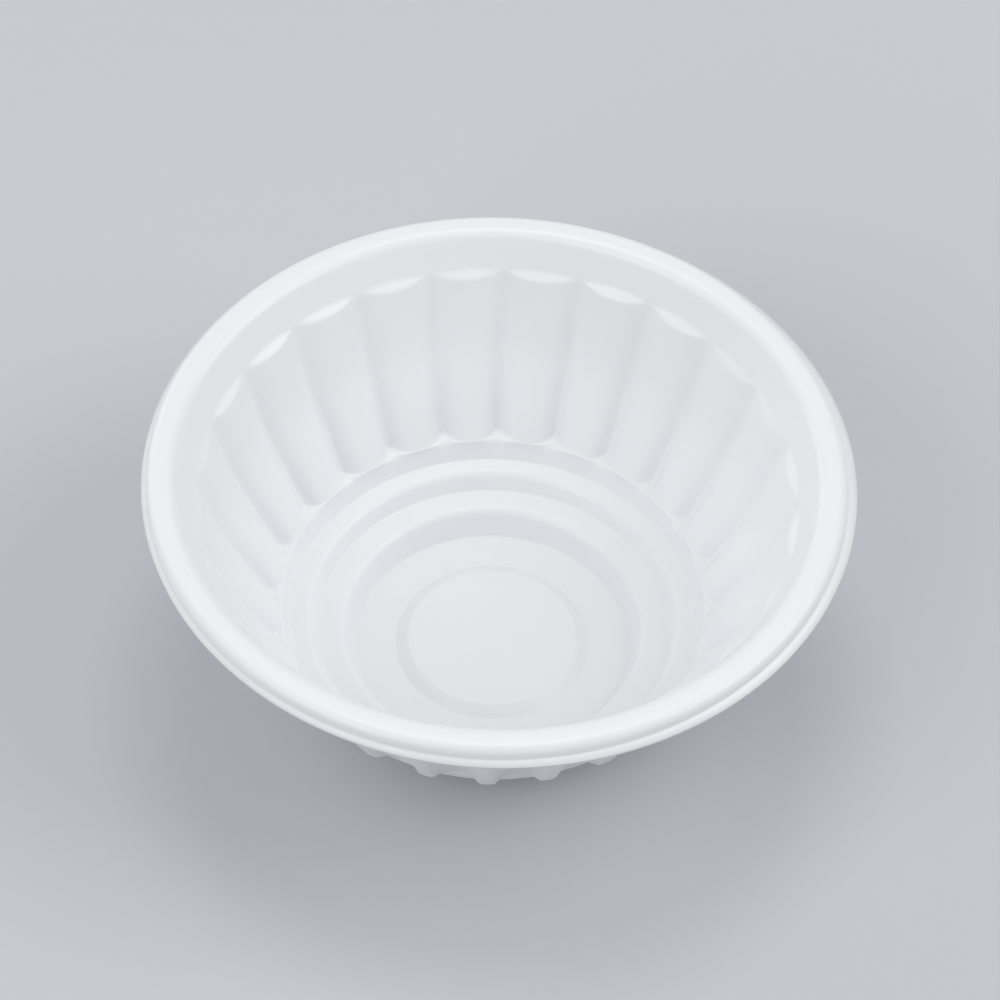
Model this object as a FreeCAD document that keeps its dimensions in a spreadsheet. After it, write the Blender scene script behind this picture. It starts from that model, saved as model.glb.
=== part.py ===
"""Takeaway rice bowl, thermoformed in one piece from white polypropylene sheet.

A round bowl with a narrow trimmed flange, a rounded crown inside it, a steep smooth band,
a fluted wall whose panels bulge into the bowl under lens-shaped ledges, two steps round the
base, a flat ring to stand on and a raised pad in the middle of the floor.

Millimetres, +Z up, with the origin on the bowl's axis in the plane that it stands on.  The
bowl is one sheet of even thickness, so it is the space inside its underside less the space
inside its food side, trimmed at the rim.  Both are bodies of the same make: a turned profile
with one flute lofted into it and repeated round the axis.
"""
import FreeCAD
import Part
import Sketcher
import math
import os

doc = FreeCAD.newDocument("rice_bowl")

# ------------------------------------------------------------------ sizes
# Radii are from the bowl's axis and heights are above the floor, both to the food side.
SIZES = [
    ("wall", 0.75, "thickness of the formed sheet"),
    ("rim_radius", 90.0, "trimmed edge of the flange"),
    ("trim_shift", 0.6, "how far the trimming tool stood off the bowl's axis, along X"),
    ("flange_height", 67.3, "flange above the floor, where it leaves the crown"),
    ("flange_width", 1.6, "flange outside the crown"),
    ("flange_fall", 0.7, "fall of the flange to its edge"),
    ("crown_height", 3.0, "crown above the flange"),
    ("crown_side_run", 1.1, "run of the crown's outer side"),
    ("crown_width", 6.0, "flat of the crown, measured to its sharp corners"),
    ("crown_round", 2.1, "rounding of the crown's two shoulders"),
    ("band_run", 4.8, "run of the smooth band below the crown"),
    ("band_drop", 6.0, "foot of the smooth band, below the flange"),
    ("upper_wall_run", 6.6, "run of the fluted wall above its bend"),
    ("bend_height", 39.5, "bend of the fluted wall, above the floor"),
    ("flute_count", 24, "flutes round the wall"),
    ("flute_top_drop", 7.5, "top of a flute, below the flange"),
    ("ledge_slope", 48, "slope of the lens-shaped ledge over each flute, in degrees"),
    ("flute_top_depth", 1.45, "depth of the flutes at their top"),
    ("flute_bend_depth", 2.4, "depth of the flutes at the bend"),
    ("flute_foot_depth", 3.0, "depth of the flutes at their foot"),
    ("valley_top_width", 2.8, "wall left between two flutes, at their top"),
    ("valley_bend_width", 2.8, "wall left between two flutes, at the bend"),
    ("valley_foot_width", 3.3, "wall left between two flutes, at their foot"),
    ("foot_ledge_width", 3.3, "ledge at the foot of a valley between two flutes"),
    ("foot_band_height", 5.4, "plain band below the flutes"),
    ("foot_band_run", 2.4, "run of the plain band"),
    ("step_one_width", 4.8, "upper step"),
    ("riser_one_height", 4.4, "riser below the upper step"),
    ("riser_one_run", 2.2, "run of that riser"),
    ("step_two_width", 6.8, "lower step"),
    ("riser_two_height", 6.9, "riser between the floor and the lower step"),
    ("riser_two_run", 3.2, "run of that riser"),
    ("step_fall", 0.3, "fall of each step towards the middle"),
    ("step_round", 1.6, "rounding of the steps' edges, on the underside"),
    ("floor_radius", 35.8, "flat floor, to the foot of the lower riser"),
    ("pad_height", 2.0, "raised pad above the floor"),
    ("pad_radius", 22.1, "flat top of the pad"),
    ("pad_slope_run", 3.3, "run of the pad's sloping edge"),
    ("trim_spare", 3.0, "sheet outside the rim before it is trimmed"),
]

sheet = doc.addObject("Spreadsheet::Sheet", "Sizes")
for row, (alias, value, note) in enumerate(SIZES, start=1):
    sheet.set("A%d" % row, alias)
    sheet.set("B%d" % row, str(value))
    sheet.set("C%d" % row, note)
    sheet.setAlias("B%d" % row, alias)
doc.recompute()


def add(*terms):
    """Expression for a sum; a term with a leading minus is taken away."""
    out = ""
    for term in terms:
        sign = "-" if term.startswith("-") else "+"
        term = term.lstrip("-")
        out += " %s %s" % (sign, term if "(" in term or term[0].isdigit() else "Sizes." + term)
    return "(%s)" % out.strip(" +")


# ------------------------------------------------------------------ lines of the profile
# From the floor outwards to the flutes' foot, then from the rim inwards to their top.
pad_foot = add("pad_radius", "pad_slope_run")
step_two_in = add("floor_radius", "riser_two_run")
step_two_out = add(step_two_in, "step_two_width")
step_one_in = add(step_two_out, "riser_one_run")
step_one_out = add(step_one_in, "step_one_width")
foot_band_out = add(step_one_out, "foot_band_run")
wall_foot = add(foot_band_out, "foot_ledge_width")

groove = add("rim_radius", "-flange_width")
crown_out = add(groove, "-crown_side_run")
crown_in = add(crown_out, "-crown_width")
band_foot = add(crown_in, "-band_run")
wall_bend = add(band_foot, "-upper_wall_run")

step_two_low = add("riser_two_height")
step_two_high = add(step_two_low, "step_fall")
step_one_low = add(step_two_high, "riser_one_height")
step_one_high = add(step_one_low, "step_fall")
foot_ledge = add(step_one_high, "foot_band_height")
bend = add("bend_height")
band_low = add("flange_height", "-band_drop")
flange = add("flange_height")
crown = add("flange_height", "crown_height")

sheet_edge = add("rim_radius", "trim_spare")
edge_fall = "Sizes.flange_fall * (%s - %s) / Sizes.flange_width" % (sheet_edge, groove)

# Corners of the food side, from the axis outwards: name, radius, height, rounding.
CORNERS = [
    ("pad_middle", "0", add("pad_height"), None),
    ("pad_edge", add("pad_radius"), add("pad_height"), None),
    ("pad_foot", pad_foot, "0", None),
    ("riser_two_foot", add("floor_radius"), "0", None),
    ("step_two_edge", step_two_in, step_two_low, "step_round"),
    ("step_two_back", step_two_out, step_two_high, None),
    ("step_one_edge", step_one_in, step_one_low, "step_round"),
    ("step_one_back", step_one_out, step_one_high, None),
    ("foot_band_top", foot_band_out, foot_ledge, None),
    ("wall_foot", wall_foot, foot_ledge, None),
    ("wall_bend", wall_bend, bend, None),
    ("band_foot", band_foot, band_low, None),
    ("crown_inside", crown_in, crown, "crown_round"),
    ("crown_outside", crown_out, crown, "crown_round"),
    ("flange_root", groove, flange, None),
    ("sheet_edge", sheet_edge, "(%s - %s)" % (flange, edge_fall), None),
]
NAMES = [corner[0] for corner in CORNERS]


def origin_feature(body, role):
    """Plane or axis of a body's own origin."""
    for feature in body.Origin.OriginFeatures:
        if feature.Role == role:
            return feature
    raise ValueError(role)


def sketch_on(body, name, role):
    """Sketch laid on one of its own body's origin planes."""
    sketch = body.newObject("Sketcher::SketchObject", name)
    sketch.AttachmentSupport = [(origin_feature(body, role), "")]
    sketch.MapMode = "FlatFace"
    return sketch


def value_of(obj, expression):
    """Present value of an expression, as a plain number."""
    found = obj.evalExpression(expression)
    return float(getattr(found, "Value", found))


def slope(first, second):
    """Slope of the food side between two corners, as an expression."""
    return "atan2(%s - %s; %s - %s)" % (second[2], first[2], second[1], first[1])


def mitre(before, after):
    """How far a corner moves out and down on the underside, in sheet thicknesses.

    Both lines beside it move square to themselves by the sheet's thickness.
    """
    return tuple("%s((%s + %s) / 2) / cos((%s - %s) / 2)" % (part, before, after, before, after)
                 for part in ("sin", "cos"))


def mitre_at(name):
    """Movement of one corner of the profile on the underside."""
    i = NAMES.index(name)
    before = slope(CORNERS[i - 1], CORNERS[i]) if i else "0deg"
    after = slope(CORNERS[i], CORNERS[i + 1]) if i + 1 < len(CORNERS) else before
    return mitre(before, after)


def corner_list(food_side):
    """Corners of one side's profile: name, radius, height and rounding, as expressions."""
    corners = []
    for name, r, z, rounding in CORNERS:
        if food_side:
            z += " + Sizes.wall"
        else:
            out, down = mitre_at(name)
            r += "" if r == "0" else " + Sizes.wall * " + out
            z += " + Sizes.wall * (1 - %s)" % down
        if rounding:
            # The crown is rounder over the food side, the steps' edges under it.
            thicker = {"crown_round": (0, -1), "step_round": (1, 0)}[rounding][0 if food_side else 1]
            rounding = "Sizes.%s + %d * Sizes.wall" % (rounding, thicker)
        corners.append((name, r, z, rounding))
    spare = add("flange_height", "crown_height", "trim_spare", "1" if food_side else "0")
    corners.append(("over_edge", corners[-1][1], spare, None))
    corners.append(("over_axis", "0", spare, None))
    return corners


def place_corner(sketch, geometry, vertex, r, z, place):
    """Tie a point of a sketch to a radius and a height."""
    if r == "0":
        sketch.addConstraint(Sketcher.Constraint("PointOnObject", geometry, vertex, -2))
    else:
        number = sketch.addConstraint(
            Sketcher.Constraint("DistanceX", -1, 1, geometry, vertex, place.x))
        sketch.setExpression("Constraints[%d]" % number, r)
    number = sketch.addConstraint(
        Sketcher.Constraint("DistanceY", -1, 1, geometry, vertex, place.y))
    sketch.setExpression("Constraints[%d]" % number, z)


def draw_profile(body, food_side):
    """Turned profile of one side of the sheet, closed over the rim and along the axis."""
    sketch = sketch_on(body, body.Name + "_profile", "XZ_Plane")
    corners = corner_list(food_side)
    count = len(corners)
    places = [FreeCAD.Vector(value_of(sketch, c[1]), value_of(sketch, c[2]), 0) for c in corners]
    sizes = [value_of(sketch, c[3]) if c[3] else 0.0 for c in corners]

    # Where each corner's rounding meets the lines beside it.
    before, after, turns = [], [], []
    for i in range(count):
        ahead = (places[(i + 1) % count] - places[i]).normalize()
        behind = (places[i] - places[i - 1]).normalize()
        turn = math.atan2(behind.cross(ahead).z, behind.dot(ahead))
        reach = sizes[i] * math.tan(abs(turn) / 2)
        before.append(places[i] - behind * reach)
        after.append(places[i] + ahead * reach)
        turns.append((turn, behind))

    for i in range(count):
        sketch.addGeometry(Part.LineSegment(after[i], before[(i + 1) % count]), False)
    for i, (name, r, z, rounding) in enumerate(corners):
        previous = (i - 1) % count
        if not rounding:
            sketch.addConstraint(Sketcher.Constraint("Coincident", previous, 2, i, 1))
            place_corner(sketch, i, 1, r, z, places[i])
            continue
        turn, behind = turns[i]
        side = 1.0 if turn > 0 else -1.0
        normal = FreeCAD.Vector(-behind.y, behind.x, 0) * side
        centre = before[i] + normal * sizes[i]
        ends = [before[i] - centre, after[i] - centre]
        angles = [math.atan2(v.y, v.x) for v in ends]
        first, last = (0, 1) if turn > 0 else (1, 0)
        if angles[last] < angles[first]:
            angles[last] += 2 * math.pi
        circle = Part.Circle(centre, FreeCAD.Vector(0, 0, 1), sizes[i])
        arc = sketch.addGeometry(Part.ArcOfCircle(circle, angles[first], angles[last]), False)
        corner = sketch.addGeometry(Part.Point(places[i]), True)
        sketch.addConstraint(Sketcher.Constraint("Tangent", previous, 2, arc, first + 1))
        sketch.addConstraint(Sketcher.Constraint("Tangent", i, 1, arc, last + 1))
        sketch.addConstraint(Sketcher.Constraint("PointOnObject", corner, 1, previous))
        sketch.addConstraint(Sketcher.Constraint("PointOnObject", corner, 1, i))
        number = sketch.addConstraint(Sketcher.Constraint("Radius", arc, sizes[i]))
        sketch.setExpression("Constraints[%d]" % number, rounding)
        place_corner(sketch, corner, 1, r, z, places[i])
    doc.recompute()
    return sketch


# ------------------------------------------------------------------ sections of a flute
def flute_radius(wall_r, line_r, valley_width, tilt):
    """Radius of the flute's arc, from its deepest line to the valleys on both sides."""
    half = "(180 / Sizes.flute_count * 1deg - asin(%s / 2 / %s))" % (valley_width, wall_r)
    reach = "(%s * sin(%s))" % (wall_r, half)
    depth = "((%s * cos(%s) - %s) / cos(%s))" % (wall_r, half, line_r, tilt)
    return "((%s * %s + %s * %s) / (2 * %s))" % (depth, depth, reach, reach, depth), depth


wall_fall = "(Sizes.flute_top_drop - Sizes.band_drop)"
wall_rise = "(%s - %s)" % (band_low, bend)
flute_top = "(%s - Sizes.upper_wall_run * %s / %s - Sizes.flute_top_depth)" % (
    band_foot, wall_fall, wall_rise)
flute_bend = "(%s - Sizes.flute_bend_depth)" % wall_bend
flute_foot = "(%s - Sizes.flute_foot_depth)" % wall_foot
flute_high = add("flange_height", "-flute_top_drop")
ledge_slope = "(Sizes.ledge_slope * 1deg)"
flute_slope = "atan2(%s - %s; %s - %s)" % (flute_high, bend, flute_top, flute_bend)

# Name, deepest line (radius, height), tilt of the section's plane, wall's radius at the
# valleys, valley's width, and the movement on the underside.
SECTIONS = [
    ("foot", flute_foot, foot_ledge, "0deg", wall_foot, "Sizes.valley_foot_width",
     mitre_at("wall_foot")),
    ("bend", flute_bend, bend, "0deg", wall_bend, "Sizes.valley_bend_width",
     mitre_at("wall_bend")),
    ("top", flute_top, flute_high, ledge_slope, band_foot, "Sizes.valley_top_width",
     mitre(flute_slope, ledge_slope)),
]


def draw_flute_section(body, section, food_side):
    """Section of a flute: an arc round towards the axis, closed outside the wall."""
    name, line_r, line_z, tilt, wall_r, width, (out, down) = section
    radius, depth = flute_radius(wall_r, line_r, width, tilt)
    if food_side:
        line_z += " + Sizes.wall"
    else:
        line_r += " + Sizes.wall * " + out
        line_z += " + Sizes.wall * (1 - %s)" % down
        radius += " - Sizes.wall * cos(%s)" % tilt
    back = "2.4 * " + depth
    sketch = sketch_on(body, body.Name + "_flute_" + name, "XY_Plane")
    # Leaning back, the plane's own x axis points outwards and up.
    sketch.AttachmentOffset = FreeCAD.Placement(
        FreeCAD.Vector(0, 0, 0), FreeCAD.Rotation(FreeCAD.Vector(0, -1, 0), 1))
    sketch.setExpression("AttachmentOffset.Base.x", line_r)
    sketch.setExpression("AttachmentOffset.Base.z", line_z)
    sketch.setExpression("AttachmentOffset.Rotation.Angle", tilt)
    size, chord = value_of(sketch, radius), value_of(sketch, back)
    spread = math.acos(max(-1.0, (size - chord) / size))
    circle = Part.Circle(FreeCAD.Vector(size, 0, 0), FreeCAD.Vector(0, 0, 1), size)
    arc = Part.ArcOfCircle(circle, math.pi - spread, math.pi + spread)
    sketch.addGeometry(arc, False)
    sketch.addGeometry(Part.LineSegment(arc.EndPoint, arc.StartPoint), False)
    sketch.addConstraint(Sketcher.Constraint("Coincident", 0, 2, 1, 1))
    sketch.addConstraint(Sketcher.Constraint("Coincident", 0, 1, 1, 2))
    sketch.addConstraint(Sketcher.Constraint("PointOnObject", 0, 3, -1))
    sketch.addConstraint(Sketcher.Constraint("Vertical", 1))
    for distance, geometry, vertex, expression in ((size, 0, 3, radius), (chord, 1, 1, back)):
        number = sketch.addConstraint(
            Sketcher.Constraint("DistanceX", -1, 1, geometry, vertex, distance))
        sketch.setExpression("Constraints[%d]" % number, expression)
    number = sketch.addConstraint(Sketcher.Constraint("Radius", 0, size))
    sketch.setExpression("Constraints[%d]" % number, radius)
    return sketch


def make_side(name, food_side):
    """Space inside one side of the sheet: turned, then fluted."""
    body = doc.addObject("PartDesign::Body", name)
    profile = draw_profile(body, food_side)
    turned = body.newObject("PartDesign::Revolution", name + "_turned")
    turned.Profile = profile
    turned.ReferenceAxis = (profile, ["V_Axis"])
    turned.Angle = 360.0
    doc.recompute()

    foot, middle, top = [draw_flute_section(body, section, food_side) for section in SECTIONS]
    doc.recompute()
    before = turned.Shape.Volume
    flute = body.newObject("PartDesign::SubtractiveLoft", name + "_flute")
    flute.Profile = foot
    flute.Sections = [middle, top]
    flute.Ruled = True
    doc.recompute()
    if flute.Shape.Volume >= before:
        raise RuntimeError("the flute cuts nothing from " + name)

    ring = body.newObject("PartDesign::PolarPattern", name + "_flutes")
    ring.Originals = [flute]
    ring.Axis = (origin_feature(body, "Z_Axis"), [""])
    ring.Angle = 360.0
    ring.setExpression("Occurrences", "Sizes.flute_count")
    body.Tip = ring
    # A rib, not a flute, lies on the X axis.
    body.Placement = FreeCAD.Placement(FreeCAD.Vector(0, 0, 0), FreeCAD.Rotation(0, 0, 0))
    body.Placement.Rotation.Axis = FreeCAD.Vector(0, 0, 1)
    body.setExpression("Placement.Rotation.Angle", "180 / Sizes.flute_count * 1deg")
    doc.recompute()
    return body


# ------------------------------------------------------------------ the bowl
under = make_side("underside", False)
food = make_side("food_side", True)

formed = doc.addObject("Part::Cut", "formed_sheet")
formed.Base = under
formed.Tool = food

trim = doc.addObject("Part::Cylinder", "trim_line")
trim.setExpression("Radius", "Sizes.rim_radius")
trim.setExpression("Height", "Sizes.flange_height + Sizes.crown_height + 2 * Sizes.trim_spare")
trim.setExpression("Placement.Base.x", "Sizes.trim_shift")
trim.setExpression("Placement.Base.z", "-Sizes.trim_spare")

bowl = doc.addObject("Part::Common", "bowl_shape")
bowl.Base = formed
bowl.Tool = trim
bowl.Label = "bowl"
bowl.Placement = FreeCAD.Placement()
doc.recompute()


# ------------------------------------------------------------------ checks and files
for obj in doc.Objects:
    if "Invalid" in obj.State or "Error" in obj.State:
        raise RuntimeError("%s is not built: %s" % (obj.Name, obj.State))

os.makedirs("parts", exist_ok=True)
for piece in [bowl]:
    shape = piece.Shape
    if shape.isNull() or not shape.isValid() or len(shape.Solids) != 1:
        raise RuntimeError("%s is not one valid solid" % piece.Label)
    shape.exportStep(os.path.join("parts", piece.Label + ".step"))
    box = shape.BoundBox
    print("%s: %.2f x %.2f x %.2f mm, volume %.0f mm3, %d faces"
          % (piece.Label, box.XLength, box.YLength, box.ZLength, shape.Volume, len(shape.Faces)))
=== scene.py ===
"""Takeaway rice bowl, one sheet of white polypropylene, with its studio.

The sheet's two sides are each drawn as a section, turned round the axis and fluted, and then
joined at the trimmed edge.  Lengths are in metres, and the overall sizes are the solid's.
"""
import math

import bmesh
import bpy
from mathutils import Euler, Matrix, Vector


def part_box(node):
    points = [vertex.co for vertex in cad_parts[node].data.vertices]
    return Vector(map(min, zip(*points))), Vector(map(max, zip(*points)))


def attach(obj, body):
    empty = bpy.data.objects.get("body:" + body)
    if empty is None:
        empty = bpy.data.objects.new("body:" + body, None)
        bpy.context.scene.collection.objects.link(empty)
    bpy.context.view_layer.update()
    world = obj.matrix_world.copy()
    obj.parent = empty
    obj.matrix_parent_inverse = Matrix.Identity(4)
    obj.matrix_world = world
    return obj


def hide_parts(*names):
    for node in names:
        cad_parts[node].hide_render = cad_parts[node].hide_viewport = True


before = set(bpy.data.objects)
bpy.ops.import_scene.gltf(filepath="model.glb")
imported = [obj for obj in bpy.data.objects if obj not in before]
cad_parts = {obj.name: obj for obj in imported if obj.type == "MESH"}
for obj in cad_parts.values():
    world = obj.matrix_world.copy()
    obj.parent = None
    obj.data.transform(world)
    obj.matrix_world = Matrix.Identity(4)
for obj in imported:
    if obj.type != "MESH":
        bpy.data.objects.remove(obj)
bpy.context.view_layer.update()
NODE = "bowl"
BOX_LOW, BOX_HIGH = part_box(NODE)
MM = 0.001

# How finely the sheet is drawn.
CORNER_SEGMENTS = 6        # segments of a rounded corner
CORNER_SHARE = 0.7         # most that a rounded corner takes up of the run beside it
LONGEST_RUN = 4.0 * MM     # longest run down the section
LEDGE_RUN = 0.4 * MM       # longest run where the ledges over the flutes cross the wall
LEDGE_REACH = 4.5 * MM     # how far such runs go above and below the smooth band's foot
GATHERING = 1.6            # 1 spaces the columns evenly, more draws them to the valleys
SAME_PLACE = 0.01 * MM     # vertices nearer than this are merged

# How softly the sheet turns: shares of the settings below, and one length.
BAND_TOP_SHARE = 0.8       # rounding at the top of the plain band, to that of the steps
BAND_FOOT_SHARE = 0.1      # rounding at the smooth band's foot, to that of the wall's bend
FOLD_SHARE = 0.3           # how far inside the plain band's top a flute acts, to its rounding
LINE_SOFTNESS = 1.0 * MM   # softness of the bend down the middle of a flute
RIB_WIDENING = 0.9         # widening of each side of a rib outside, to the sheet's thickness
RIB_ROUNDING = 0.3         # share by which a flute is less square outside
RIB_SOFTENING = 1.5        # extra softness of a rib's edges outside, to the thickness

# The studio, in metres and watts.
TABLE_REACH = 4.0          # from the axis to the table's edge
ROOM_LEVEL = 0.40          # strength of the light from the room
LAMP_AIM = (0.0, 0.0, 0.05)
LAMPS = (
    # name, place, side, power
    ("right_softbox", (1.3, 0.0, 1.2), 1.2, 11.0),
    ("left_softbox", (-1.0, -0.9, 1.1), 1.2, 9.4),
    ("back_lamp", (-1.2, 1.2, 0.75), 1.0, 5.5),
    ("overhead_lamp", (0.0, 0.45, 1.7), 0.7, 5.2),
)

bl_info = {
    "name": "Takeaway Rice Bowl",
    "version": (1, 0, 0),
    "blender": (4, 5, 0),
    "location": "View3D > Sidebar > Rice Bowl",
    "description": "Thermoformed bowl with a fluted wall, and its studio",
    "category": "Object",
}


# ---------------------------------------------------------------- settings
def length(name, description, millimetres):
    """A size of the bowl, kept in metres."""
    return bpy.props.FloatProperty(name=name, description=description, unit="LENGTH",
                                   default=millimetres * MM, min=0.0, precision=5)


def squareness(name, power):
    """How squarely a flute turns out to its valleys in a level cut."""
    return bpy.props.FloatProperty(
        name=name, description="2 is nearly an arc, more is flatter and squarer", default=power)


class RiceBowlSizes(bpy.types.PropertyGroup):
    """Sizes of the bowl, to the food side of the sheet."""

    wall: length("Sheet", "Thickness of the formed sheet", 0.75)
    rim_radius: length("Rim radius", "Trimmed edge of the flange",
                       (BOX_HIGH[0] - BOX_LOW[0]) / 2 / MM)
    trim_shift: length("Trim shift", "How far the trimmed edge stands off the axis",
                       (BOX_HIGH[0] + BOX_LOW[0]) / 2 / MM)
    height: length("Height", "From the foot to the top of the crown", BOX_HIGH[2] / MM)
    flange_width: length("Flange width", "Flange outside the crown", 1.6)
    flange_fall: length("Flange fall", "Fall of the flange to its edge", 0.7)
    crown_height: length("Crown height", "Crown above the flange", 3.0)
    crown_side_run: length("Crown side run", "Run of the crown's outer side", 0.5)
    crown_width: length("Crown width", "Flat of the crown, to its sharp corners", 6.6)
    crown_round: length("Crown rounding", "Rounding of the crown's shoulders", 3.2)
    band_run: length("Band run", "Run of the smooth band below the crown", 4.8)
    band_drop: length("Band foot", "Foot of the smooth band, below the flange", 6.0)
    upper_wall_run: length("Upper wall run", "Run of the fluted wall above its bend", 6.6)
    bend_height: length("Bend height", "Bend of the fluted wall, above the floor", 39.5)
    bend_round: length("Bend rounding", "Rounding of the wall's bend", 60.0)
    flute_top_drop: length("Flute top", "Top of a flute, below the flange", 7.5)
    ledge_slope: bpy.props.FloatProperty(name="Ledge slope", subtype="ANGLE",
                                         description="Slope of the ledge over a flute",
                                         default=math.radians(36))
    ledge_round: length("Ledge rounding", "Softness of the ledges' edges", 0.35)
    flute_top_depth: length("Flute depth, top", "Depth of the flutes at their top", 1.75)
    flute_bend_depth: length("Flute depth, bend", "Depth of the flutes at the bend", 2.4)
    flute_foot_depth: length("Flute depth, foot", "Depth of the flutes at their foot", 3.55)
    flute_top_square: squareness("Squareness, top", 2.2)
    flute_bend_square: squareness("Squareness, bend", 3.0)
    flute_foot_square: squareness("Squareness, foot", 4.0)
    valley_top_width: length("Valley width, top", "Wall left between two flutes, top", 2.2)
    valley_bend_width: length("Valley width, bend", "Wall left between two flutes, bend", 1.8)
    valley_foot_width: length("Valley width, foot", "Wall left between two flutes, foot", 2.0)
    valley_round: length("Valley rounding", "Softness of the valleys' edges", 0.5)
    foot_ledge_width: length("Foot ledge", "Ledge at the foot of a valley", 3.3)
    foot_round: length("Foot rounding", "Rounding at the foot of the fluted wall", 1.8)
    foot_band_height: length("Plain band height", "Plain band below the flutes", 5.4)
    foot_band_run: length("Plain band run", "Run of the plain band", 2.4)
    step_one_width: length("Upper step", "Width of the upper step", 4.8)
    riser_one_height: length("Upper riser", "Riser below the upper step", 4.4)
    riser_one_run: length("Upper riser run", "Run of that riser", 2.2)
    step_two_width: length("Lower step", "Width of the lower step", 6.8)
    riser_two_height: length("Lower riser", "Riser from the floor to the lower step", 6.9)
    riser_two_run: length("Lower riser run", "Run of that riser", 3.2)
    step_fall: length("Step fall", "Fall of each step towards the middle", 0.3)
    step_round: length("Step rounding", "Rounding of the steps' edges, underside", 1.6)
    crease_round: length("Crease rounding", "Rounding of the sharp corners", 0.35)
    floor_radius: length("Floor radius", "Flat floor, to the foot of the riser", 35.8)
    pad_height: length("Pad height", "Raised pad above the floor", 2.0)
    pad_radius: length("Pad radius", "Flat top of the pad", 22.1)
    pad_slope_run: length("Pad slope", "Run of the pad's sloping edge", 3.3)
    flute_count: bpy.props.IntProperty(name="Flutes", description="Flutes round the wall",
                                       default=24, min=3)
    columns: bpy.props.IntProperty(name="Columns", description="Mesh columns to a flute",
                                   default=14, min=4)


class RiceBowlLook(bpy.types.PropertyGroup):
    """Colours of the bowl and its studio."""

    plastic: bpy.props.StringProperty(name="Plastic", description="sRGB hex of the sheet",
                                      default="EEEFF2")
    floor: bpy.props.StringProperty(name="Floor", description="sRGB hex of the table",
                                    default="C9CCD1")
    backdrop: bpy.props.StringProperty(name="Backdrop", description="sRGB hex of the room",
                                       default="FFFFFF")


# ---------------------------------------------------------------- materials
def linear(code):
    """sRGB hex to linear RGBA."""
    out = []
    for i in (0, 2, 4):
        c = int(code[i:i + 2], 16) / 255.0
        out.append(c / 12.92 if c <= 0.04045 else ((c + 0.055) / 1.055) ** 2.4)
    return tuple(out) + (1.0,)


def add_node(tree, kind, settings=None, **links):
    """Add a node, set its properties and sockets, and link outputs to its inputs."""
    node = tree.nodes.new(kind)
    for key, value in (settings or {}).items():
        if key in node.inputs:
            node.inputs[key].default_value = value
        else:
            setattr(node, key, value)
    for key, source in links.items():
        tree.links.new(source, node.inputs[key.replace("_", " ")])
    return node


def new_material(name):
    """New material and its node tree, with no nodes in it yet."""
    material = bpy.data.materials.new(name)
    material.use_nodes = True
    tree = material.node_tree
    tree.nodes.clear()
    return material, tree


def polypropylene_sheet(colour):
    """Thermoformed polypropylene: white, semi-gloss, a little light passing through."""
    material, tree = new_material("white_polypropylene_sheet")
    place = add_node(tree, "ShaderNodeTexCoord")
    # The rolled sheet keeps a faint matt grain, too fine to show and so drawn coarser.
    grain_size = 0.5 * MM
    grain = add_node(tree, "ShaderNodeTexNoise",
                     {"Scale": 1.0 / grain_size, "Detail": 2.0, "Roughness": 0.5},
                     Vector=place.outputs["Object"])
    # Stretching over the mould leaves slow waves.
    wave_length = 12.0 * MM
    waves = add_node(tree, "ShaderNodeTexNoise",
                     {"Scale": 1.0 / wave_length, "Detail": 1.0, "Roughness": 0.4},
                     Vector=place.outputs["Object"])
    bump_waves = add_node(tree, "ShaderNodeBump", {"Strength": 0.25, "Distance": 0.15 * MM},
                          Height=waves.outputs["Fac"])
    bump = add_node(tree, "ShaderNodeBump", {"Strength": 0.10, "Distance": 0.02 * MM},
                    Height=grain.outputs["Fac"], Normal=bump_waves.outputs["Normal"])
    shader = add_node(tree, "ShaderNodeBsdfPrincipled",
                      {"Base Color": linear(colour), "Roughness": 0.34, "IOR": 1.49,
                       "Subsurface Weight": 0.15, "Subsurface Scale": 1.5 * MM,
                       "Subsurface Radius": (1.0, 1.0, 1.0)},
                      Normal=bump.outputs["Normal"])
    add_node(tree, "ShaderNodeOutputMaterial", None, Surface=shader.outputs["BSDF"])
    return material


def matt_card(colour):
    """Matt card of the studio table, with hardly any gloss."""
    material, tree = new_material("studio_card")
    shader = add_node(tree, "ShaderNodeBsdfPrincipled",
                      {"Base Color": linear(colour), "Roughness": 0.9, "IOR": 1.45,
                       "Specular IOR Level": 0.1})
    add_node(tree, "ShaderNodeOutputMaterial", None, Surface=shader.outputs["BSDF"])
    return material


# ---------------------------------------------------------------- meshes
def link_mesh(context, bm, name, material):
    """Object of a finished bmesh with its material, linked to the scene."""
    mesh = bpy.data.meshes.new(name)
    bm.to_mesh(mesh)
    bm.free()
    mesh.materials.append(material)
    item = bpy.data.objects.new(name, mesh)
    context.collection.objects.link(item)
    return item


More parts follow.
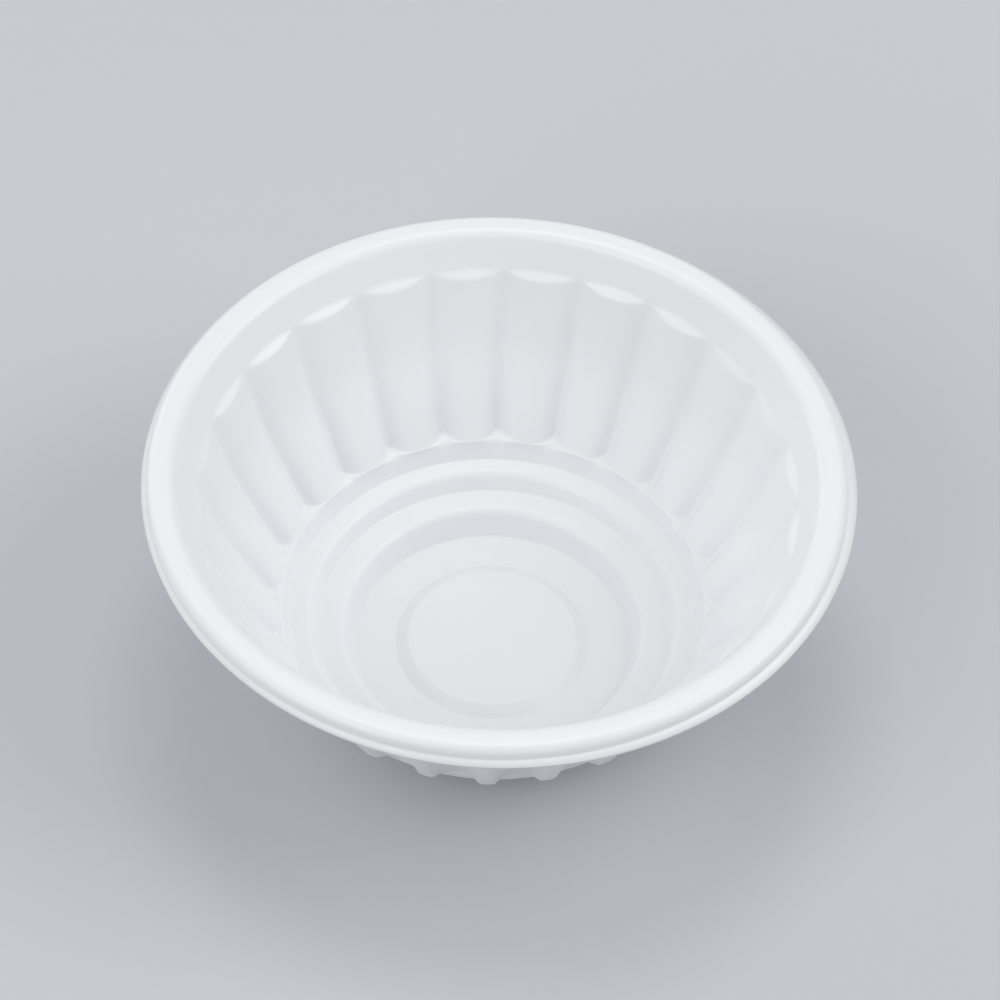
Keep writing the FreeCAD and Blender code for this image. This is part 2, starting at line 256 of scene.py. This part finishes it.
# ---------------------------------------------------------------- the bowl
def food_section(s):
    """Corners of the food side from the axis outwards: radius, height, tighter rounding."""
    floor = s.wall
    pad_top = floor + s.pad_height
    two_low = floor + s.riser_two_height
    two_high = two_low + s.step_fall
    one_low = two_high + s.riser_one_height
    one_high = one_low + s.step_fall
    foot = one_high + s.foot_band_height
    crown = s.height
    flange = crown - s.crown_height
    two_in = s.floor_radius + s.riser_two_run
    two_out = two_in + s.step_two_width
    one_in = two_out + s.riser_one_run
    one_out = one_in + s.step_one_width
    band_out = one_out + s.foot_band_run
    groove = s.rim_radius - s.flange_width
    crown_out = groove - s.crown_side_run
    crown_in = crown_out - s.crown_width
    band_foot = crown_in - s.band_run
    shoulder = s.crown_round - s.wall
    crease = s.crease_round
    return {
        "pad_middle": (0.0, pad_top, 0.0),
        "pad_edge": (s.pad_radius, pad_top, crease),
        "pad_foot": (s.pad_radius + s.pad_slope_run, floor, crease),
        "riser_two_foot": (s.floor_radius, floor, crease),
        "step_two_edge": (two_in, two_low, s.step_round),
        "step_two_back": (two_out, two_high, crease),
        "step_one_edge": (one_in, one_low, s.step_round),
        "step_one_back": (one_out, one_high, crease),
        "foot_band_top": (band_out, foot, BAND_TOP_SHARE * s.step_round),
        "wall_foot": (band_out + s.foot_ledge_width, foot, s.foot_round),
        "wall_bend": (band_foot - s.upper_wall_run, floor + s.bend_height, s.bend_round),
        "band_foot": (band_foot, flange - s.band_drop, BAND_FOOT_SHARE * s.bend_round),
        "crown_inside": (crown_in, crown, shoulder),
        "crown_outside": (crown_out, crown, shoulder),
        "flange_root": (groove, flange, crease),
        "rim": (s.rim_radius, flange - s.flange_fall, 0.0),
    }


def slope(first, second):
    """Slope of the line between two places of a section."""
    return math.atan2(second[1] - first[1], second[0] - first[0])


def mitre(before, after, skin):
    """Movement outwards and upwards of a corner whose lines move square to themselves."""
    mean, half = (before + after) / 2, (before - after) / 2
    return skin * math.sin(mean) / math.cos(half), -skin * math.cos(mean) / math.cos(half)


def side_section(s, skin):
    """Corners of one side: skin is 0 for the food side, the sheet's thickness for the other."""
    names, places = zip(*food_section(s).items())
    side = {}
    for i, (r, z, tight) in enumerate(places):
        before = slope(places[i - 1], places[i]) if i else 0.0
        after = slope(places[i], places[i + 1]) if i + 1 < len(places) else before
        out, up = mitre(before, after, skin)
        wider = s.wall - skin if after < before else skin
        side[names[i]] = (r + out if i else 0.0, z + up, tight + wider if tight else 0.0)
    return side


def draw_section(bm, corners):
    """Wire of a section with rounded corners and divided runs."""
    verts = [bm.verts.new((r, 0.0, z)) for r, z, rounding in corners]
    for pair in zip(verts, verts[1:]):
        bm.edges.new(pair)
    for i in range(1, len(corners) - 1):
        rounding = corners[i][2]
        place = Vector(corners[i][:2])
        behind = place - Vector(corners[i - 1][:2])
        ahead = Vector(corners[i + 1][:2]) - place
        reach = rounding * math.tan(behind.angle(ahead) / 2)
        reach = min(reach, CORNER_SHARE * behind.length, CORNER_SHARE * ahead.length)
        if reach > 0.0:
            bmesh.ops.bevel(bm, geom=[verts[i]], affect="VERTICES", offset_type="OFFSET",
                            offset=reach, segments=CORNER_SEGMENTS, profile=0.5, material=-1)
    divide(bm, bm.edges[:], LONGEST_RUN)


def divide(bm, edges, longest):
    """Divide edges evenly into runs no longer than a length."""
    for edge in edges:
        cuts = math.ceil(edge.calc_length() / longest) - 1
        if cuts > 0:
            bmesh.ops.subdivide_edges(bm, edges=[edge], cuts=cuts)


def soft_min(a, b, width):
    """Lesser of two values, blended where they are within a width of each other."""
    h = min(1.0, max(0.0, 0.5 + 0.5 * (b - a) / width))
    return b + (a - b) * h - width * h * (1.0 - h)


def soft_max(a, b, width):
    """Greater of two values, blended where they are within a width of each other."""
    return -soft_min(-a, -b, width)


def between(value, low, high):
    """Share of the way from low to high, kept within 0 and 1."""
    return min(1.0, max(0.0, (value - low) / (high - low)))


def off_middle(v, pitch):
    """Angle of a vertex round the axis, off the middle of its flute."""
    return math.atan2(v.co.y, v.co.x) % pitch - pitch / 2


def move_out(v, r, moved):
    """Move a vertex from one distance off the axis to another."""
    v.co.x *= moved / r
    v.co.y *= moved / r


class Flute:
    """Surface of one flute on one side of the sheet.

    In a level cut it is flat in the middle and turns out to the valleys on both sides, more
    squarely towards the foot.  Its middle line runs from the foot over the wall's bend to the
    top, where a sloping flat, the ledge, ends it.
    """

    def __init__(self, s, skin):
        food = food_section(s)
        foot, bend, band = food["wall_foot"], food["wall_bend"], food["band_foot"]
        self.pitch = 2 * math.pi / s.flute_count
        top_z = band[1] + s.band_drop - s.flute_top_drop
        wall_r = band[0] + (top_z - band[1]) / math.tan(slope(bend, band))
        line = [(foot[0] - s.flute_foot_depth, foot[1]), (bend[0] - s.flute_bend_depth, bend[1]),
                (wall_r - s.flute_top_depth, top_z)]
        self.lower, self.upper = slope(line[0], line[1]), slope(line[1], line[2])
        self.ledge = s.ledge_slope
        moves = (mitre(0.0, self.lower, skin), mitre(self.lower, self.upper, skin),
                 mitre(self.upper, self.ledge, skin))
        self.foot, self.bend, self.top = [(r + out, z + up)
                                          for (r, z), (out, up) in zip(line, moves)]
        self.shapes = []
        for r, depth, valley, square in (
                (foot[0], s.flute_foot_depth, s.valley_foot_width, s.flute_foot_square),
                (bend[0], s.flute_bend_depth, s.valley_bend_width, s.flute_bend_square),
                (wall_r, s.flute_top_depth, s.valley_top_width, s.flute_top_square)):
            half = self.pitch / 2 - valley / 2 / r
            side = math.atan(square * depth / (half * r))
            # Outside, the sheet fills the bends, so the ribs there are wider and rounder.
            half -= skin * (math.tan(side / 2) + RIB_WIDENING) / r
            self.shapes.append((depth, half, square * (1.0 - RIB_ROUNDING * skin / s.wall)))

    def radius(self, away, z, softness):
        """Distance of the flute's surface from the axis, at an angle off its middle."""
        lower = self.foot[0] + (z - self.foot[1]) / math.tan(self.lower)
        upper = self.bend[0] + (z - self.bend[1]) / math.tan(self.upper)
        line = soft_min(lower, upper, LINE_SOFTNESS)
        foot, bend, top = self.shapes
        if z < self.bend[1]:
            low, high, share = foot, bend, between(z, self.foot[1], self.bend[1])
        else:
            low, high, share = bend, top, between(z, self.bend[1], self.top[1])
        depth, half, square = [a + (b - a) * share for a, b in zip(low, high)]
        face = line + depth * (abs(away) / half) ** square
        ledge = self.top[0] + (z - self.top[1]) / math.tan(self.ledge)
        return soft_max(face, ledge / math.cos(away), softness)


def gather_columns(verts, pitch):
    """Draw the columns of vertices together at the valleys, where the wall turns most."""
    for v in verts:
        away = off_middle(v, pitch)
        share = min(1.0, abs(away) / (pitch / 2))
        moved = math.copysign(1.0 - (1.0 - share) ** GATHERING, away) * pitch / 2
        v.co.rotate(Euler((0.0, 0.0, moved - away)))


def press_flutes(verts, s, side, skin):
    """Press the flutes inwards in one turned side; the ledge at their foot takes up the move."""
    flute = Flute(s, skin)
    foot_r, foot_z, foot_round = side["wall_foot"]
    bend_r, bend_z, _ = side["wall_bend"]
    band_r, _, band_round = side["foot_band_top"]
    crown_r, crown_z, _ = side["crown_inside"]
    run = (bend_r - foot_r) / (bend_z - foot_z)
    fold_r = band_r - FOLD_SHARE * band_round
    shoulder_z = crown_z - s.crown_round
    fillet = foot_round * math.tan(slope(side["wall_foot"], side["wall_bend"]) / 2)
    softness = s.valley_round + RIB_SOFTENING * skin
    for v in verts:
        r, z = math.hypot(v.co.x, v.co.y), v.co.z
        if r < fold_r or r > crown_r or z > shoulder_z:
            continue
        cut = flute.radius(off_middle(v, flute.pitch), z, s.ledge_round)
        if z < foot_z + fillet:
            wall = foot_r + run * (z - foot_z)
            share = between(r, fold_r, wall)
        else:
            wall, share = r, 1.0
        if cut <= wall + softness:
            move_out(v, r, r + share * (soft_min(cut, wall, softness) - wall))


def trim_rim(verts, s, side):
    """Move the flange's outer part to the trimmed circle, which stands off the axis."""
    groove, groove_z, _ = side["flange_root"]
    for v in verts:
        r = math.hypot(v.co.x, v.co.y)
        if r < groove or v.co.z > groove_z:
            continue
        share = between(r, groove, side["rim"][0])
        across = s.trim_shift * v.co.y / r
        edge = s.trim_shift * v.co.x / r + math.sqrt(s.rim_radius ** 2 - across ** 2)
        move_out(v, r, groove + share * (edge - groove))


def form_side(bm, s, skin):
    """Turn one side's section round the axis, flute it and trim it."""
    turned = bmesh.new()
    side = side_section(s, skin)
    draw_section(turned, list(side.values()))
    # The ledges over the flutes cross the wall's upper end, so its rows are close there.
    wall_in, wall_out = side["wall_foot"][0], side["crown_inside"][0]
    ledge_z = side["band_foot"][1]
    divide(turned, [e for e in turned.edges if wall_in < e.verts[0].co.x < wall_out
                    and abs(sum(v.co.z for v in e.verts) / 2 - ledge_z) < LEDGE_REACH],
           LEDGE_RUN)
    bmesh.ops.spin(turned, geom=turned.verts[:] + turned.edges[:], cent=(0, 0, 0),
                   axis=(0, 0, 1), angle=2 * math.pi, steps=s.flute_count * s.columns,
                   use_merge=True)
    bmesh.ops.remove_doubles(turned, verts=turned.verts[:], dist=SAME_PLACE)
    gather_columns(turned.verts, 2 * math.pi / s.flute_count)
    press_flutes(turned.verts, s, side, skin)
    trim_rim(turned.verts, s, side)
    mesh = bpy.data.meshes.new("side")
    turned.to_mesh(mesh)
    turned.free()
    bm.from_mesh(mesh)
    bpy.data.meshes.remove(mesh)


class RICEBOWL_OT_bowl(bpy.types.Operator):
    """Form the bowl from one sheet."""

    bl_idname = "ricebowl.bowl"
    bl_label = "Form the bowl"

    def execute(self, context):
        s = context.scene.rice_bowl_sizes
        look = context.scene.rice_bowl_look
        bm = bmesh.new()
        form_side(bm, s, 0.0)
        form_side(bm, s, s.wall)
        rims = [e for e in bm.edges if e.is_boundary]
        bmesh.ops.bridge_loops(bm, edges=rims)
        bmesh.ops.recalc_face_normals(bm, faces=bm.faces[:])
        for face in bm.faces:
            face.smooth = True
        piece = link_mesh(context, bm, "rice_bowl", polypropylene_sheet(look.plastic))
        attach(piece, "root")
        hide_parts(NODE)
        return {"FINISHED"}


# ---------------------------------------------------------------- the studio
def soft_lamp(context, name, place, side, power):
    """Square white soft light, aimed at the bowl."""
    data = bpy.data.lights.new(name, "AREA")
    data.shape = "SQUARE"
    data.size = side
    data.energy = power
    lamp = bpy.data.objects.new(name, data)
    context.collection.objects.link(lamp)
    back = (Vector(place) - Vector(LAMP_AIM)).normalized()
    turn = back.to_track_quat("Z", "Y").to_matrix().to_4x4()
    lamp.matrix_world = Matrix.Translation(place) @ turn


class RICEBOWL_OT_studio(bpy.types.Operator):
    """Lay the table and set the lights and the camera."""

    bl_idname = "ricebowl.studio"
    bl_label = "Set the studio"

    def execute(self, context):
        scene = context.scene
        look = scene.rice_bowl_look
        bm = bmesh.new()
        bmesh.ops.create_grid(bm, x_segments=1, y_segments=1, size=TABLE_REACH)
        table = link_mesh(context, bm, "studio_table", matt_card(look.floor))

        for name, place, side, power in LAMPS:
            soft_lamp(context, name, place, side, power)

        world = bpy.data.worlds.new("studio_room")
        scene.world = world
        world.use_nodes = True
        tree = world.node_tree
        tree.nodes.clear()
        room = add_node(tree, "ShaderNodeBackground",
                        {"Color": linear(look.backdrop), "Strength": ROOM_LEVEL})
        add_node(tree, "ShaderNodeOutputWorld", None, Surface=room.outputs["Background"])

        place_camera(context)
        scene.view_settings.view_transform = "Standard"
        return {"FINISHED"}


def place_camera(context):
    """Camera high over the near side of the bowl, a long way off, a little rolled."""
    distance = 1.1
    tilt, roll = math.radians(50.18), math.radians(1.93)
    # In mm: how far below the crown its aim is, and how far it stands to the right and down.
    aim_drop, stand_right, stand_down = 3.0, 0.69, 5.9
    aim = Vector((0.0, 0.0, BOX_HIGH[2] - aim_drop * MM))
    forward = Vector((0.0, math.cos(tilt), -math.sin(tilt)))
    level_up = Vector((0.0, math.sin(tilt), math.cos(tilt)))
    across = Vector((1.0, 0.0, 0.0))
    right = across * math.cos(roll) + level_up * math.sin(roll)
    up = level_up * math.cos(roll) - across * math.sin(roll)
    place = aim + right * stand_right * MM - up * stand_down * MM - forward * distance
    data = bpy.data.cameras.new("camera")
    data.sensor_width = 36.0
    data.lens = 157.5
    data.clip_end = 20.0
    camera = bpy.data.objects.new("camera", data)
    context.collection.objects.link(camera)
    turn = Matrix((right, up, -forward)).transposed().to_4x4()
    camera.matrix_world = Matrix.Translation(place) @ turn
    context.scene.camera = camera


class RICEBOWL_PT_panel(bpy.types.Panel):
    """List the operators and their settings in the sidebar."""

    bl_label = "Rice Bowl"
    bl_idname = "RICEBOWL_PT_panel"
    bl_space_type = "VIEW_3D"
    bl_region_type = "UI"
    bl_category = "Rice Bowl"

    def draw(self, context):
        layout = self.layout
        for operator in OPERATORS:
            layout.operator(operator.bl_idname)
        for group in (context.scene.rice_bowl_sizes, context.scene.rice_bowl_look):
            for name in group.bl_rna.properties.keys():
                if name not in ("rna_type", "name"):
                    layout.prop(group, name)


OPERATORS = (RICEBOWL_OT_bowl, RICEBOWL_OT_studio)
CLASSES = (RiceBowlSizes, RiceBowlLook) + OPERATORS + (RICEBOWL_PT_panel,)


def register():
    """Register the classes and hang the settings on the scene."""
    for item in CLASSES:
        bpy.utils.register_class(item)
    bpy.types.Scene.rice_bowl_sizes = bpy.props.PointerProperty(type=RiceBowlSizes)
    bpy.types.Scene.rice_bowl_look = bpy.props.PointerProperty(type=RiceBowlLook)


def unregister():
    """Take the settings and classes away again."""
    del bpy.types.Scene.rice_bowl_look
    del bpy.types.Scene.rice_bowl_sizes
    for item in reversed(CLASSES):
        bpy.utils.unregister_class(item)


def main():
    """Make every piece in order."""
    register()
    bpy.ops.ricebowl.bowl()
    bpy.ops.ricebowl.studio()


if __name__ == "__main__":
    main()
